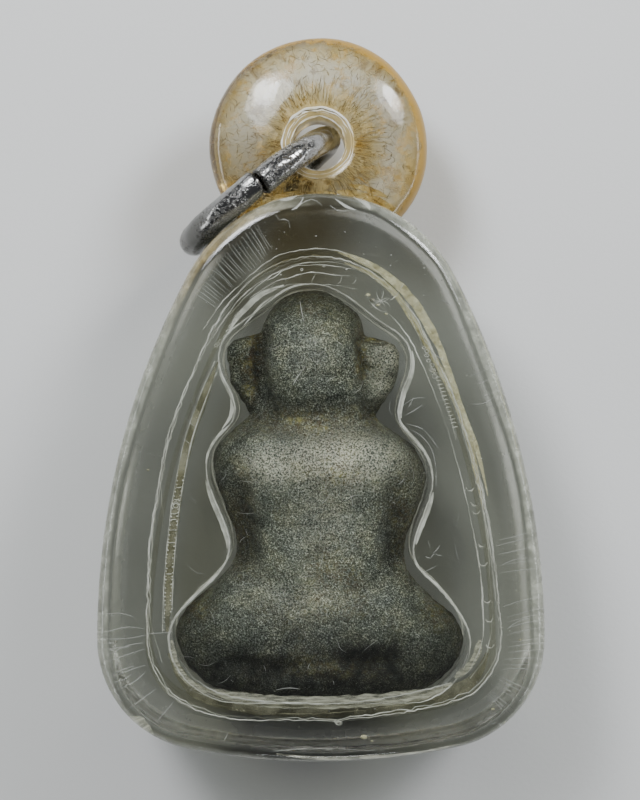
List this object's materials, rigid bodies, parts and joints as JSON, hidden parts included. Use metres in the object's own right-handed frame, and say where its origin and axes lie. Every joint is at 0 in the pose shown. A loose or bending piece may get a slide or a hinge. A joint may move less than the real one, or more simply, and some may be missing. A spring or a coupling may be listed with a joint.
{
  "type": "amulet pendant",
  "caption": "Clear cemented case, wider at its foot, sealed round a cast seated figure, with a domed bail disc and a split metal ring.",
  "frame": {"origin": "on the flat front face of the case, half way along it, on its middle line", "axes": "+Y from the foot of the case towards the bail disc, +Z out of the back cover, +X to the right when the back is looked at with the disc at the top. The pendant lies on its front face"},
  "size_m": [0.0268, 0.0442, 0.0128],
  "materials": {
    "clear_acrylic": "hand polished clear acrylic, lightly crazed",
    "amber_acrylic": "yellowed clear acrylic, polished",
    "cast_metal": "grainy grey casting with brown patina",
    "steel": "bright, slightly pitted wire"
  },
  "bodies": {
    "case": {"case_front": "clear_acrylic", "case_ring": "clear_acrylic", "case_back": "clear_acrylic", "figure_plate": "clear_acrylic", "figure": "cast_metal", "bail_disc": "amber_acrylic"},
    "ring": {"jump_ring": "steel"}
  },
  "joints": [
    {"name": "ring_swing", "type": "hinge", "parent": "case", "child": "ring", "pos_m": [-0.00015, 0.02042, 0.0064], "axis": [0, 0, 1], "range_deg": [-252, 0]}
  ]
}
